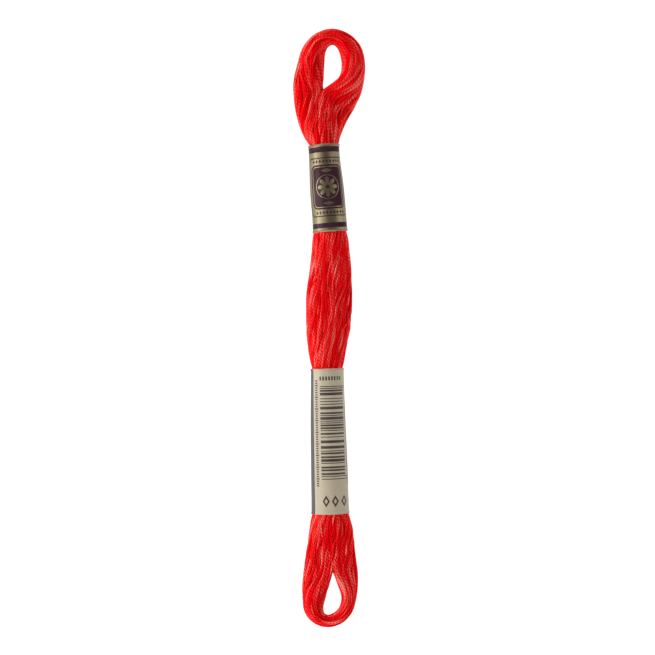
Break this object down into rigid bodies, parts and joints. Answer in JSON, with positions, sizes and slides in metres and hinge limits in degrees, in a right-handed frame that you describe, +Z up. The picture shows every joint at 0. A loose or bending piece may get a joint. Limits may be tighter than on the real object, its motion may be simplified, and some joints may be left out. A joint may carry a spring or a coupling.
{
  "type": "skein of embroidery floss",
  "caption": "Flat-lying wound hank of red six-strand embroidery floss with an eye at each end, held by a short gold and a long cream paper band.",
  "frame": {"origin": "on the table under the middle of the skein's outline", "axes": "+Y along the skein towards the end with the larger eye and the short gold band, +X to the right seen from above, +Z up"},
  "size_m": [0.0193, 0.1598, 0.0088],
  "materials": {
    "floss": "red mercerised cotton floss with a soft sheen",
    "gold_paper": "gold foil paper printed dark aubergine",
    "cream_paper": "cream paper printed dark brown, slate on its back"
  },
  "bodies": {
    "root": {"floss_hank": "floss", "upper_band": "gold_paper", "lower_band": "cream_paper"}
  },
  "joints": []
}
